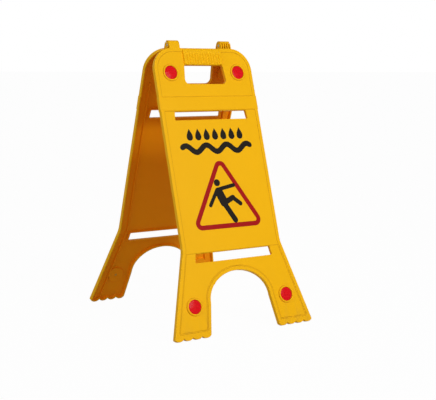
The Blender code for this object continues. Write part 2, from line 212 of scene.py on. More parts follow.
def scallops(outer):
    """The lobes under the right foot, from the outside inwards: equal arcs that meet in cusps."""
    half = math.asin(LOBE_PITCH / 2 / LOBE_RADIUS)
    angles = np.linspace(half, -half, 15)
    centres = outer - LOBE_PITCH * (np.arange(LOBES) + 0.5)
    x = centres[:, None] + LOBE_RADIUS * np.sin(angles)[None]
    v = np.broadcast_to(-REACH + LOBE_RADIUS * (1 - np.cos(angles)), x.shape)
    points = np.stack([x.ravel(), v.ravel()], 1)
    keep = np.ones(len(points), bool)
    keep[15::15] = False
    return points[keep]


def panel_outline():
    """The whole edge of a panel, anticlockwise from the arch's crown: left leg, left side, top, and back."""
    outer = FOOT_WIDTH / 2
    right_foot = scallops(outer)[::-1]
    stand = BAND_STAND
    body = BODY_WIDTH / 2
    side = [
        (outer, -REACH + 0.0052, 0.0),
        (body, -LEG_START, KNEE),
        (body, -BAND[1] - stand, 0.0015),
        (body + stand, -BAND[1], 0.0015),
        (body + stand, -BAND[0], 0.0015),
        (body, -BAND[0] + stand, 0.0015),
        (body, TOP, TOP_CORNER),
    ]
    upper = rounded(side + [(-x, v, radius) for x, v, radius in side[::-1]])
    # Only the part from the right foot to the left foot is open edge: the feet and the arch close it.
    arch = arch_points()[::-1]
    left_foot = right_foot[::-1] * (-1, 1)
    return np.concatenate([arch[len(arch) // 2 :], right_foot, upper[1:-1], left_foot, arch[: len(arch) // 2]])


def rim_outline():
    """The inner edge of the rim round the message field and both legs, which skirts the arch."""
    down = REACH - 0.0135
    body, top = BODY_WIDTH / 2 - RIM, -BAND[1] - 0.0006
    splay = (FOOT_WIDTH / 2 - LOBES * LOBE_PITCH - ARCH_WIDTH / 2) / (REACH - ARCH_TOP - ARCH_RISE)
    inner = ARCH_WIDTH / 2 + RIM + splay * (down - ARCH_TOP - ARCH_RISE)
    spring = (ARCH_WIDTH / 2 + RIM, -ARCH_TOP - ARCH_RISE, 0.0)
    half = [(inner, -down, 0.003), (leg_x(down, RIM), -down, 0.004), (body, -LEG_START, KNEE), (body, top, 0.003)]
    mirrored = [(-x, v, radius) for x, v, radius in half[::-1]]
    loop = rounded([spring] + half + mirrored + [(-spring[0], spring[1], 0.0)])
    return np.concatenate([loop[:-1], arch_points(RIM)[::-1][:-1]])


def leg_outline():
    """The edge of the legs' lower floor: as the rim's, a little inside it, and cut off above the lower slot."""
    inner = offset(rim_outline(), 0.0022)
    top = -LOWER_SLOT[0] + 0.0012
    kept = inner[:, 1] < top
    start = np.flatnonzero(kept & ~np.roll(kept, 1))[0]
    inner, count = np.roll(inner, -start, 0), kept.sum()
    ends = []
    for inside, outside in ((inner[0], inner[-1]), (inner[count - 1], inner[count])):
        share = (top - inside[1]) / (outside[1] - inside[1])
        ends.append(inside + share * (outside - inside))
    return np.concatenate([ends[:1], inner[:count], ends[1:]])


def header_outline():
    """The inner edge of the rim round the header."""
    body = BODY_WIDTH / 2 - RIM
    radius = TOP_CORNER - RIM
    low = -BAND[0] + 0.0006
    return rounded([(-body, low, 0.003), (body, low, 0.003), (body, -HEADER_TOP, radius), (-body, -HEADER_TOP, radius)])


def band_outline():
    """The proud band's foot on the rim level."""
    half = BODY_WIDTH / 2 - 0.0016
    return rounded([(-half, -BAND[1], 0.001), (half, -BAND[1], 0.001), (half, -BAND[0], 0.001), (-half, -BAND[0], 0.001)])


# Building meshes out of swept edges and flat fills


def quarter(start, end, along_height, steps=4):
    """A quarter round between two (inset, height) points, which leaves the first along the height or across it:
    the fast share is sin t and the slow one is 1 - cos t."""
    turn = np.linspace(0, math.pi / 2, steps + 1)
    fast, slow = np.sin(turn), 1 - np.cos(turn)
    shares = (slow, fast) if along_height else (fast, slow)
    return [(start[0] + (end[0] - start[0]) * a, start[1] + (end[1] - start[1]) * b) for a, b in zip(*shares)]


def rounded_edge(radius, high, low, sign=1):
    """The side of a plate, rounded at its top and bottom."""
    return quarter((sign * radius, high), (0.0, high - radius), False) + quarter(
        (0.0, low + radius), (sign * radius, low), True
    )


class Shell:
    """Gathers swept edges and flat fills, then welds them into one closed mesh."""

    def __init__(self):
        self.points, self.faces, self.wear, self.deep, self.count = [], [], [], [], 0
        self.axes = np.eye(3)

    def add(self, points, faces, wear, deep=0.0):
        self.points.append(np.asarray(points, float) @ self.axes)
        self.faces += [[i + self.count for i in face] for face in np.asarray(faces).tolist()]
        self.wear.append(np.broadcast_to(np.asarray(wear, float), (len(points),)))
        self.deep.append(np.broadcast_to(np.asarray(deep, float), (len(points),)))
        self.count += len(points)

    def sweep(self, loop, profile, wear=None, deep_from=None):
        """A profile of (inset, height) carried round an outline: point (i, j) is the outline's point i moved
        in by inset j and raised to height j."""
        rows = [np.column_stack([offset(loop, d), np.full(len(loop), w)]) for d, w in profile]
        n, m = len(loop), len(rows)
        i, j = np.meshgrid(np.arange(n), np.arange(m - 1))
        here, there = i.ravel(), (i.ravel() + 1) % n
        a, b = here + n * j.ravel(), there + n * j.ravel()
        values = np.zeros(m) if wear is None else np.asarray(wear, float)
        deep = np.arange(m) >= (m if deep_from is None else deep_from)
        self.add(np.concatenate(rows), np.stack([a, b, b + n, a + n], 1), np.repeat(values, n), np.repeat(deep, n))

    def fill(self, outer, holes, height, deep=0.0):
        """A flat face at one height inside an outline, less its holes."""
        loops = [outer] + list(holes)
        rings = [[Vector((x, v, 0)) for x, v in loop] for loop in loops]
        triangles = tessellate_polygon(rings)
        flat = np.concatenate(loops)
        self.add(np.column_stack([flat, np.full(len(flat), height)]), triangles, 0.0, deep)

    def grid(self, points, closed=False, wear=0.0):
        """A surface of points in rows, joined to their neighbours; closed joins each row's ends."""
        m, n = points.shape[:2]
        i, j = np.meshgrid(np.arange(n if closed else n - 1), np.arange(m - 1))
        a = i.ravel() + n * j.ravel()
        b = (i.ravel() + 1) % n + n * j.ravel()
        self.add(points.reshape(-1, 3), np.stack([a, b, b + n, a + n], 1), wear)

    def slab(self, loop, low, high, edge=0.0, holes=(), deep=0.0):
        """A plate between two heights with rounded edges, pierced by holes."""
        for outline, sign in [(loop, 1)] + [(hole, -1) for hole in holes]:
            profile = rounded_edge(edge, high, low, sign) if edge else [(0.0, high), (0.0, low)]
            self.sweep(outline, profile, deep_from=0 if deep else None)
        for height in (high, low):
            self.fill(offset(loop, edge), [offset(hole, -edge) for hole in holes], height, deep)

    def loft(self, loops, stations, wear=0.0):
        """A closed skin through like outlines, each set at its own station along the third axis."""
        points = np.stack([np.column_stack([loop, np.full(len(loop), at)]) for loop, at in zip(loops, stations)])
        self.grid(points, closed=True, wear=wear)
        for end in (points[0], points[-1]):
            self.add(end, [list(range(len(end)))], 0.0)

    def mesh(self, name, place):
        """One mesh: doubles merged, faces turned outwards, and moved to its place."""
        points = np.concatenate(self.points)
        wear = np.concatenate(self.wear)
        key = np.round(points / 2e-7).astype(np.int64)
        _, first, index = np.unique(key, axis=0, return_index=True, return_inverse=True)
        index = index.reshape(-1)
        faces = [list(dict.fromkeys(index[face])) for face in self.faces]
        faces = [face for face in faces if len(face) > 2]
        made = bpy.data.meshes.new(name)
        made.from_pydata(points[first].tolist(), [], faces)
        # Per-point edge values: positive ones lighten rubbed edges, partly wear and partly a painted highlight;
        # negative ones are painted shade in the feet of steps.
        high, low = np.zeros(len(first)), np.zeros(len(first))
        np.maximum.at(high, index, wear)
        np.minimum.at(low, index, wear)
        tally = high + low
        made.attributes.new("wear", "FLOAT", "POINT").data.foreach_set("value", tally.astype(np.float32))
        # Points on the hollow side, which take the painted inner shade colour.
        inner = np.zeros(len(first))
        np.maximum.at(inner, index, np.concatenate(self.deep))
        made.attributes.new("deep", "FLOAT", "POINT").data.foreach_set("value", inner.astype(np.float32))
        outward(made)
        made.transform(place)
        made.update()
        return made


def outward(mesh):
    """Every closed shell in the mesh turned to face out."""
    cage = bmesh.new()
    cage.from_mesh(mesh)
    bmesh.ops.recalc_face_normals(cage, faces=cage.faces)
    cage.to_mesh(mesh)
    cage.free()


# The panel moulding in its flat frame

EDGE = 0.0012
SOFT = 0.0005
CREASE = 0.0012  # how far the painted shade in a step's foot spreads
INSIDE = FACE - WALL


def pocket(shell, outline, high, low):
    """The small step from a level down to a sunk field: a rounded lip and a filleted foot."""
    middle = (high + low) / 2
    lip = quarter((-SOFT, high), (0.0, middle), False)
    foot = quarter((0.0, middle), (SOFT, low), True)[1:] + [(SOFT + CREASE / 2, low), (SOFT + CREASE, low)]
    # Its lip is lightened as a rubbed edge, partly wear and partly a painted highlight; its foot gets painted shade.
    shell.sweep(outline, lip + foot, [0, 0.5, 0.8, 0.4, 0, -0.4, -0.8, -1, -1, -0.6, 0])


def collar(shell, outline, level, back):
    """The lip of an opening: rounded at the front, straight through, and a wall that stands behind the face."""
    profile = quarter((-SOFT, level), (0.0, level - SOFT), False) + quarter((0.0, back + SOFT), (-SOFT, back), True)
    profile += quarter((SOFT - WALL, back), (-WALL, back + SOFT), False)
    profile += quarter((-WALL, INSIDE - SOFT), (-WALL - SOFT, INSIDE), True)
    # The front lip is lightened as a rubbed edge, partly wear and partly a painted highlight; the wall behind the face
    # takes the painted inner shade.
    shell.sweep(outline, profile, [0, 0.6, 1, 0.6, 0.2] + [0.0] * (len(profile) - 5), 5)


def seat(shell, x, v, level):
    """A reflector's seat: a bezel ring proud of its field, the recess, the peg's hole and the boss behind."""
    outer = SEAT_RADIUS + BEZEL_WALL
    top, floor = FACE + BEZEL_PROUD, FACE - SEAT_DEPTH
    back = floor - SEAT_FLOOR
    bore = outer - 0.0033
    round_over = 0.0009
    profile = [(-SOFT - CREASE, level), (-SOFT - CREASE / 2, level)] + quarter((-SOFT, level), (0.0, level + SOFT), False)
    profile += quarter((0.0, top - round_over), (round_over, top), True)
    profile += quarter((BEZEL_WALL - SOFT, top), (BEZEL_WALL, top - SOFT), False)
    profile += [(BEZEL_WALL, floor), (bore, floor), (bore, back)]
    profile += quarter((SOFT, back), (0.0, back + SOFT), False) + quarter((0.0, INSIDE - SOFT), (-SOFT, INSIDE), True)
    # Painted shade round the bezel's foot and in the foot of its recess; the bezel's lips are lightened as rubbed
    # edges, partly wear and partly a painted highlight; the boss behind takes the painted inner shade.
    wear = [0, -0.5, -0.8, -1, -1, -0.8, -0.4, 0, 0.3, 0.6, 0.5, 0.2, 0.1, 0.3, 0.5, 0.2, -0.2, -1, -1]
    shell.sweep(ring(x, v, outer), profile, wear + [0.0] * (len(profile) - len(wear)), 18)


def moulding(shell):
    """The tray: rim, sunk fields, band, openings, seats, skirt and inner wall, as one closed skin."""
    edge, rim, header, legs, band = panel_outline(), rim_outline(), header_outline(), leg_outline(), band_outline()
    field, low_field = FACE - FIELD, FACE - FIELD - LEGS
    skirt = quarter((EDGE, FACE), (0.0, FACE - EDGE), False, 5) + quarter((0.0, BACK + SOFT), (SOFT, BACK), True)
    skirt += quarter((WALL - SOFT, BACK), (WALL, BACK + SOFT), False)
    skirt += quarter((WALL, INSIDE - SOFT), (WALL + SOFT, INSIDE), True)
    # The front and back edges are lightened as rubbed edges, partly wear and partly a painted highlight; the inner wall
    # takes the painted inner shade.
    shell.sweep(edge, skirt, [0, 0.5, 1, 1, 0.6, 0.1, 0.0, 0.2, 0.6, 0.8, 0.8] + [0.0] * (len(skirt) - 11), 15)
    pocket(shell, rim, FACE, field)
    pocket(shell, header, FACE, field)
    pocket(shell, legs, field, low_field)
    proud = FACE + BAND_PROUD
    # The band's lip is lightened as a rubbed edge, partly wear and partly a painted highlight.
    shell.sweep(band, [(0.0, FACE)] + quarter((0.0003, proud - 0.0004), (0.0008, proud), True), [0, 0.4, 0.8, 0.8, 0.4, 0])

    hand, upper, lower = trapezium(HAND), trapezium(UPPER_SLOT), trapezium(LOWER_SLOT)
    collar(shell, hand, field, BACK)
    collar(shell, upper, field, INSIDE - SLOT_COLLAR)
    collar(shell, lower, low_field, INSIDE - SLOT_COLLAR)
    seats = {"upper": [], "lower": []}
    for node in sorted(frame["nodes"]):
        if node.startswith("front_") and node.endswith("_lens"):
            across, up, _ = panel_place(False).inverted() @ centre_of(node)
            row = node.split("_")[1]
            seat(shell, across, up, field if row == "upper" else low_field)
            seats[row].append(ring(across, up, SEAT_RADIUS + BEZEL_WALL))

    shell.fill(offset(edge, EDGE), [offset(rim, -SOFT), offset(header, -SOFT), band], FACE)
    shell.fill(offset(band, 0.0008), [], proud)
    fronts = {row: [offset(circle, -SOFT - CREASE) for circle in circles] for row, circles in seats.items()}
    shell.fill(offset(header, SOFT + CREASE), [offset(hand, -SOFT)] + fronts["upper"], field)
    shell.fill(offset(rim, SOFT + CREASE), [offset(upper, -SOFT), offset(legs, -SOFT)], field)
    shell.fill(offset(legs, SOFT + CREASE), [offset(lower, -SOFT)] + fronts["lower"], low_field)
    behind = [offset(o, -WALL - SOFT) for o in (hand, upper, lower)]
    behind += [offset(circle, -SOFT) for circle in seats["upper"] + seats["lower"]]
    # The hollow side takes the painted inner shade.
    shell.fill(offset(edge, WALL + SOFT), behind, INSIDE, 1.0)


def stiffeners(shell):
    """The rib inside each edge, which follows the straight side and then the leg."""
    inset, width, tall, start = 0.0205, 0.0022, 0.0040, 0.0900
    foot = REACH - 0.0075
    outer = [(leg_x(foot, inset), -foot), (BODY_WIDTH / 2 - inset, -LEG_START), (BODY_WIDTH / 2 - inset, -start)]
    for side in (-1, 1):
        strip = [(side * x, v, 0.0006) for x, v in outer] + [(side * (x - width), v, 0.0006) for x, v in outer[::-1]]
        loop = rounded(strip, 0.0004)
        # The ribs take the painted inner shade.
        shell.slab(loop if side > 0 else loop[::-1], INSIDE - tall, INSIDE + 0.001, 0.0005, deep=1.0)


def grip(shell):
    """The grip over the panel's top edge: a rounded block whose lower half is fluted. At x the flutes sink
    by depth * exp(-(d / width)^2), where d is the distance to the nearest flute."""
    half, pitch, depth, width = HAND[2] / 2, 0.0068, 0.0014, 0.0011
    proud, low, top = FACE + 0.0030, -HAND[0], TOP + 0.0004
    stations = np.linspace(-half, half, 281)
    section = rounded(
        [(BACK + 0.0040, low, 0.0004), (proud, low, 0.0016), (proud, top, 0.0075), (BACK + 0.0040, top, 0.0020)], 0.0006
    )
    gap = np.linspace(0, 1, 9)[1:-1, None]
    front = np.flatnonzero((section[:, 0] > proud - 1e-7))
    a, b = section[front[0]], section[front[-1]]
    section = np.concatenate([section[: front[0] + 1], a + (b - a) * gap, section[front[-1] :]])
    w, v = section.T
    away = stations - pitch * np.round(stations / pitch)
    flute = depth * np.exp(-((away / width) ** 2)) * (np.abs(stations) < half - 0.003)
    window = np.clip((-0.0225 - v) / 0.0016, 0, 1) * (w > FACE - 0.0005)
    ends = np.clip((half - np.abs(stations)) / 0.0022, 0, 1)
    shrink = 0.0022 * (1 - np.sqrt(1 - (1 - ends) ** 2))
    bow = 0.0009 * (1 - (stations / half) ** 2)
    lifted = np.clip((v - low) / 0.020, 0, 1)
    across = w[None] - shrink[:, None] * (w > FACE) - flute[:, None] * window[None]
    up = v[None] - bow[:, None] * (1 - lifted[None]) - shrink[:, None] * lifted[None]
    shell.axes = np.array([[0, 0, 1], [0, 1, 0], [1, 0, 0]], float)
    shell.loft(list(np.stack([across, up], 2)), stations)
    shell.axes = np.eye(3)


# The hinge, in profile: (out, up) from the hinge axis


def arc(radius, start, end, steps=24):
    """Points round the hinge axis, with angles counted from straight out, upwards."""
    angles = np.linspace(start, end, steps + 1)
    return np.stack([radius * np.cos(angles), radius * np.sin(angles)], 1)


def knuckles(shell):
    """The hook at the panel's own left, with its shell and fingers, and the ribbed bracket at its right."""
    foot = TOP - WALL / 2
    pitch = (KNUCKLE_WIDTH - KNUCKLE_RIB) / (RIBS - 1)
    places = (np.arange(RIBS) - (RIBS - 1) / 2) * pitch
    bore = ring(0.0, 0.0, PIN_RADIUS + 0.0003, 40)
    shell.axes = np.array([[0, 0, 1], [0, 1, 0], [1, 0, 0]], float)

    stop = math.pi - SHELL_END - 2 * LEAN - math.asin(0.0003 / CORE_RADIUS)
    root = [(BACK, foot), (SHELL_RADIUS, foot)]
    rib = np.concatenate([root, arc(SHELL_RADIUS, 0.0, stop, 6), arc(CORE_RADIUS, stop, EYE_END, 40)])
    for place in places:
        shell.slab(rib, HINGE_X + place - KNUCKLE_RIB / 2, HINGE_X + place + KNUCKLE_RIB / 2, 0.0003, [bore])

    under = SHELL_RADIUS - 0.0002
    over, eye = arc(under, 0.0, SHELL_END - 0.02), arc(CORE_RADIUS, SHELL_END, EYE_END, 24)
    finger = np.concatenate([[(BACK, foot), (under, foot)], over, eye])
    wide = pitch - KNUCKLE_RIB - 0.0008
    for place in (places[:-1] + places[1:]) / 2:
        shell.slab(finger, place - HINGE_X - wide / 2, place - HINGE_X + wide / 2, 0.0003, [bore])

    half, chamfer = KNUCKLE_WIDTH / 2, 0.0050
    near = np.concatenate([[0, 0.15, 0.4, 0.8], np.linspace(1.4, 5.6, 8)]) / 1000
    stations = np.concatenate([near - half, (half - near)[::-1]])
    loops = []
    for at in stations:
        side = half - abs(at)
        pulled = 0.0008 * (1 - math.sqrt(1 - (1 - min(side / 0.0008, 1)) ** 2))
        end = SHELL_END - 0.36 * max(0.0, 1 - side / chamfer)
        loops.append(
            np.concatenate(
                [
                    [(SHELL_BORE, foot), (SHELL_RADIUS - pulled, foot)],
                    arc(SHELL_RADIUS - pulled, 0.0, end, 30),
                    arc(SHELL_BORE, end, 0.0, 30),
                ]
            )
        )
    shell.loft(loops, stations - HINGE_X)
    shell.axes = np.eye(3)


# Turned pieces


def revolve(shell, profile, count=96):
    """A profile of (radius, height) turned about the third axis, closed on it at both ends."""
    angles = np.linspace(0, 2 * math.pi, count, endpoint=False)
    radius, height = np.array(profile).T
    points = np.stack(
        [
            radius[:, None] * np.cos(angles),
            radius[:, None] * np.sin(angles),
            np.broadcast_to(height[:, None], (len(radius), count)),
        ],
        2,
    )
    shell.grid(points, closed=True)


# The print: outlines in the flat frame


def limb(a, b, width):
    """A straight stroke with round ends."""
    a, b = np.array(a, float), np.array(b, float)
    heading = math.atan2(*(b - a)[::-1])
    turn = np.linspace(-math.pi / 2, math.pi / 2, 13) + heading
    cap = np.stack([np.cos(turn), np.sin(turn)], 1) * width / 2
    return np.concatenate([b + cap, a - cap])


def triangle(base, height, middle, grow, radius):
    """An upright triangle round (0, middle), grown by a distance on every side."""
    half, low, high = base / 2, middle - height / 3, middle + height * 2 / 3
    corners = rounded([(half, low, radius), (0.0, high, radius), (-half, low, radius)], 0.0008)
    return offset(corners, -grow)


def drop(x, v, size):
    """A water drop: a circle of radius r drawn up to a point, half as wide as sin t * sin(t / 2)^1.3."""
    turn = np.linspace(0, 2 * math.pi, 60, endpoint=False)
    across = size * 0.80 * np.sin(turn) * np.sin(turn / 2) ** 1.3
    return np.stack([x - across, v + size * np.cos(turn)], 1)[::-1]


def wave(half, v, tall, wide, cycles, count=160):
    """A ribbon along v + tall * cos(k x), its ends rounded by the square root of the distance left."""
    x = np.linspace(-half, half, count)
    k = 2 * math.pi * cycles / (2 * half)
    middle, slope = v - tall * np.cos(k * x), tall * k * np.sin(k * x)
    left = np.clip((half - np.abs(x)) / (wide / 2), 0, 1)
    thick = wide / 2 * np.sqrt(left * (2 - left))
    normal = np.stack([-slope, np.ones(count)], 1) / np.sqrt(1 + slope**2)[:, None]
    line = np.stack([x, middle], 1)
    low, high = line - normal * thick[:, None], line + normal * thick[:, None]
    return np.concatenate([low, high[1:-1][::-1]])


# Shading


class Value:
    """A shader socket that takes arithmetic: each operation adds a Math node to the tree."""

    def __init__(self, tree, socket):
        self.tree, self.socket = tree, socket

    def math(self, operation, *others):
        node = self.tree.nodes.new("ShaderNodeMath")
        node.operation = operation
        for slot, item in zip(node.inputs, (self,) + others):
            feed(self.tree, slot, item)
        return Value(self.tree, node.outputs[0])

    def __add__(self, other):
        return self.math("ADD", other)

    def __sub__(self, other):
        return self.math("SUBTRACT", other)

    def __rsub__(self, other):
        return (self * -1.0) + other

    def __mul__(self, other):
        return self.math("MULTIPLY", other)

    def __truediv__(self, other):
        return self.math("DIVIDE", other)

    def __pow__(self, other):
        return self.math("POWER", other)

    __radd__, __rmul__ = __add__, __mul__

    def clamp(self):
        return self.math("MINIMUM", 1.0).math("MAXIMUM", 0.0)


def feed(tree, slot, item):
    """Links a value to an input, or sets the input to a plain number, colour or vector."""
    if isinstance(item, Value):
        tree.links.new(item.socket, slot)
    else:
        slot.default_value = item


class Finish:
    """A procedural material under construction, read in object coordinates."""

    def __init__(self, name, roughness, metallic=0.0, **constants):
        self.material = bpy.data.materials.new(name)
        self.material.use_nodes = True
        self.tree = self.material.node_tree
        self.shader = self.tree.nodes["Principled BSDF"]
        for key, value in {"Roughness": roughness, "Metallic": metallic, **constants}.items():
            self.shader.inputs[key].default_value = value
        self.place = self.node("ShaderNodeTexCoord", "Object")

    def node(self, kind, output, settings=(), **inputs):
        """Adds a node and returns one of its outputs."""
        made = self.tree.nodes.new(kind)
        for key, value in dict(settings).items():
            setattr(made, key, value)
        for key, value in inputs.items():
            feed(self.tree, made.inputs[key.replace("_", " ")], value)
        return Value(self.tree, made.outputs[output])

    def noise(self, scale, detail=2.0, stretch=None):
        place = self.place
        if stretch:
            place = self.node("ShaderNodeVectorMath", "Vector", {"operation": "MULTIPLY"})
            self.tree.links.new(self.place.socket, place.socket.node.inputs[0])
            place.socket.node.inputs[1].default_value = stretch
        return self.node("ShaderNodeTexNoise", "Fac", Vector=place, Scale=scale, Detail=detail)

    def painted(self, name):
        """A value that the mesh carries at its points."""
        return self.node("ShaderNodeAttribute", "Fac", {"attribute_name": name})

    def mix(self, share, first, second):
        """A colour that goes from the first to the second."""
        made = self.tree.nodes.new("ShaderNodeMix")
        made.data_type = "RGBA"
        for slot, item in zip((made.inputs[0], made.inputs[6], made.inputs[7]), (share, first, second)):
            feed(self.tree, slot, item)
        return Value(self.tree, made.outputs[2])

    def bump(self, height, distance, strength=1.0):
        return self.node("ShaderNodeBump", "Normal", Height=height, Distance=distance, Strength=strength)

    def finish(self, **fed):
        for key, value in fed.items():
            feed(self.tree, self.shader.inputs[key.replace("_", " ")], value)
        return self.material


def tone(colour, share):
    """A colour made darker or lighter by a share."""
    return (*[min(channel * share, 1.0) for channel in colour[:3]], 1.0)


def plastic(look):
    """Satin injection-moulded plastic: mould grain, faint flow clouds, dust in the lower parts, rubbed edges lightened
    partly by wear and partly as a painted highlight, painted shade in the feet of steps and round the bezels, and the
    hollow side painted a deeper orange shade.
    """
    skin = Finish("Moulded Yellow Plastic", look.roughness, **{"Specular IOR Level": 0.05})
    clouds = skin.noise(9.0, 3.0)
    grain = skin.noise(1500.0, 2.0)
    scuff = skin.noise(60.0, 6.0, (1.0, 1.0, 0.12)) ** 6.0 * 5.0
    height = skin.node("ShaderNodeSeparateXYZ", "Z", Vector=skin.place)
    low = (1.0 - height / 0.16).clamp() ** 2.0
    edge = skin.painted("wear")
    # Rubbed edges made lighter: partly wear, partly a painted highlight.
    rubbed_and_highlit = edge.clamp() * skin.noise(45.0, 4.0)
    # Painted shade in the feet of steps and round the bezels.
    painted_crease_shade = (edge * -1.0).clamp() * (0.55 + skin.noise(30.0, 3.0) * 0.45)
    outside = skin.mix(clouds, tone(look.colour, 0.965), tone(look.colour, 1.03))
    # The hollow side is painted a deeper orange, which stands in for its shade and inter-reflected light.
    base = skin.mix(skin.painted("deep"), outside, (*look.inner_shade_colour, 1.0))
    dusty = skin.mix((low * scuff * 0.5).clamp(), base, (0.42, 0.25, 0.04, 1.0))
    worn_and_highlit = skin.mix((rubbed_and_highlit * 0.35).clamp(), dusty, (0.95, 0.60, 0.06, 1.0))
    # The painted crease shade is mixed in here.
    crease_shaded = skin.mix((painted_crease_shade * 0.55).clamp(), worn_and_highlit, (0.30, 0.13, 0.006, 1.0))
    rough = (look.roughness + clouds * 0.06 + scuff * 0.08 + rubbed_and_highlit * 0.10 + painted_crease_shade * 0.25).clamp()
    relief = grain * 0.6 + clouds * 3.0
    return skin.finish(Base_Color=crease_shaded, Roughness=rough, Normal=skin.bump(relief, 0.00004, 0.5))


def lens_red(look):
    """Clear red reflector plastic over a field of small cube corners."""
    skin = Finish("Red Reflector", 0.16, **{"Specular IOR Level": 0.06})
    cells = skin.node("ShaderNodeTexVoronoi", "Distance", Vector=skin.place, Scale=520.0, Randomness=0.0)
    tilt = skin.node("ShaderNodeTexVoronoi", "Color", Vector=skin.place, Scale=520.0, Randomness=0.0)
    spark = skin.node("ShaderNodeSeparateXYZ", "X", Vector=tilt)
    colour = skin.mix(cells.clamp(), tone(look.lens, 1.15), tone(look.lens, 0.55))
    lively = skin.mix(spark * 0.30, colour, (0.86, 0.02, 0.02, 1.0))
    haze = 0.14 + skin.noise(180.0, 3.0) * 0.08
    return skin.finish(Base_Color=lively, Roughness=haze, Normal=skin.bump(cells, 0.0002, 0.25))


def base_ochre(look):
    skin = Finish("Ochre Backing", 0.45)
    cloud = skin.noise(120.0, 3.0)
    colour = skin.mix(cloud, tone(look.backing, 0.85), tone(look.backing, 1.2))
    return skin.finish(
        Base_Color=colour, Roughness=0.40 + cloud * 0.12, Normal=skin.bump(skin.noise(1800.0), 0.00003, 0.5)
    )


def pin_steel(look):
    """Drawn steel wire: fine lines along the pin and a little tarnish."""
    skin = Finish("Drawn Steel", 0.32, 1.0)
    lines = skin.noise(700.0, 4.0, (0.02, 1.0, 1.0))
    stain = skin.noise(160.0, 4.0)
    colour = skin.mix(stain, tone(look.steel, 0.8), tone(look.steel, 1.1))
    return skin.finish(Base_Color=colour, Roughness=0.24 + lines * 0.2, Normal=skin.bump(lines, 0.00003, 0.6))


def ink(name, colour):
    """Screen-printed ink: even, a touch glossier than the plastic, with faint pinholes and mesh grain."""
    skin = Finish(name, 0.36, **{"Specular IOR Level": 0.05})
    speck = skin.noise(420.0, 5.0)
    tint = skin.mix(speck, tone(colour, 0.85), tone(colour, 1.15))
    grain = skin.bump(skin.noise(1500.0), 0.00002, 0.5)
    return skin.finish(Base_Color=tint, Roughness=0.30 + speck * 0.14, Normal=grain)


# Settings

COLOUR = {"subtype": "COLOR", "size": 3, "min": 0, "max": 1}


class FloorSignLook(bpy.types.PropertyGroup):
    colour: bpy.props.FloatVectorProperty(
        name="Plastic", description="Colour of the panels", **COLOUR, default=(0.90, 0.465, 0.003)
    )
    # Painted shade: the hollow side's deeper orange stands in for shade and inter-reflected light on the same plastic.
    inner_shade_colour: bpy.props.FloatVectorProperty(
        name="Inner Shade",
        description="Deeper colour of the panels' hollow side",
        **COLOUR,
        default=(0.95, 0.335, 0.004),
    )
    roughness: bpy.props.FloatProperty(
        name="Roughness",
        description="Roughness of the panels' plastic",
        subtype="FACTOR",
        min=0,
        max=1,
        default=0.36,
    )
    lens: bpy.props.FloatVectorProperty(
        name="Reflector", description="Colour of the reflector lenses", **COLOUR, default=(0.80, 0.004, 0.010)
    )
    backing: bpy.props.FloatVectorProperty(
        name="Backing", description="Colour of the reflector bases", **COLOUR, default=(0.62, 0.31, 0.008)
    )
    steel: bpy.props.FloatVectorProperty(
        name="Steel", description="Colour of the hinge pins", **COLOUR, default=(0.30, 0.27, 0.22)
    )
    black: bpy.props.FloatVectorProperty(
        name="Black Ink",
        description="Colour of the figure, drops and wave",
        **COLOUR,
        default=(0.012, 0.009, 0.006),
    )
    red: bpy.props.FloatVectorProperty(
        name="Red Ink", description="Colour of the triangle", **COLOUR, default=(0.36, 0.006, 0.006)
    )
    ink_thickness: bpy.props.FloatProperty(
        name="Ink Thickness",
        description="How proud the print is",
        unit="LENGTH",
        min=0.00001,
        max=0.001,
        default=0.00008,
    )


class FloorSignStage(bpy.types.PropertyGroup):
    key: bpy.props.FloatProperty(name="Key", description="Power of the main lamp", unit="POWER", min=0, default=61.0)
    fill: bpy.props.FloatProperty(name="Fill", description="Power of the side lamp", unit="POWER", min=0, default=20.0)
    sky: bpy.props.FloatProperty(name="Sky", description="Strength of the light from all round", min=0, default=0.34)
    floor: bpy.props.FloatProperty(
        name="Floor Tone", description="How pale the floor is", subtype="FACTOR", min=0, max=1, default=0.62
    )
    camera_place: bpy.props.FloatVectorProperty(
        name="Camera",
        description="Where the camera stands, measured from the hinge axis",
        subtype="XYZ",
        unit="LENGTH",
        size=3,
        default=(-1.1461, -1.9133, -0.0320),
    )
    camera_turn: bpy.props.FloatVectorProperty(
        name="Turn",
        description="Yaw, pitch and roll of the camera",
        subtype="EULER",
        unit="ROTATION",
        size=3,
        default=(math.radians(32.15), math.radians(-8.10), math.radians(0.49)),
    )
    camera_lens: bpy.props.FloatProperty(
        name="Lens", description="Focal length", unit="CAMERA", min=1, default=81.2
    )


# Building the pieces


def stand(name, mesh, finish, body, slot, replaced=(), smooth=35.0):
    """A finished piece in the scene: shaded, with its material and its body."""
    mesh.materials.append(finish)
    mesh.shade_smooth()
    mesh.set_sharp_from_angle(angle=math.radians(smooth))
    obj = bpy.data.objects.new(name, mesh)
    bpy.context.scene.collection.objects.link(obj)
    even = obj.modifiers.new("even_normals", "WEIGHTED_NORMAL")
    even.keep_sharp = True
    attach(obj, body)
    if replaced:
        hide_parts(*replaced)
    return obj


class FLOORSIGN_OT_panels(bpy.types.Operator):
    """Builds both panels: one moulding, stood up twice"""

    bl_idname = "floorsign.panels"
    bl_label = "Panels"

    def execute(self, context):
        shell = Shell()
        moulding(shell)
        stiffeners(shell)
        grip(shell)
        knuckles(shell)
        finish = plastic(context.scene.floor_sign_look)
        for body, turned in BODIES:
            mesh = shell.mesh(f"{body}_panel_skin", panel_place(turned))
            stand(f"{body}_panel_skin", mesh, finish, body, "panel", [f"{body}_panel"])
        return {"FINISHED"}


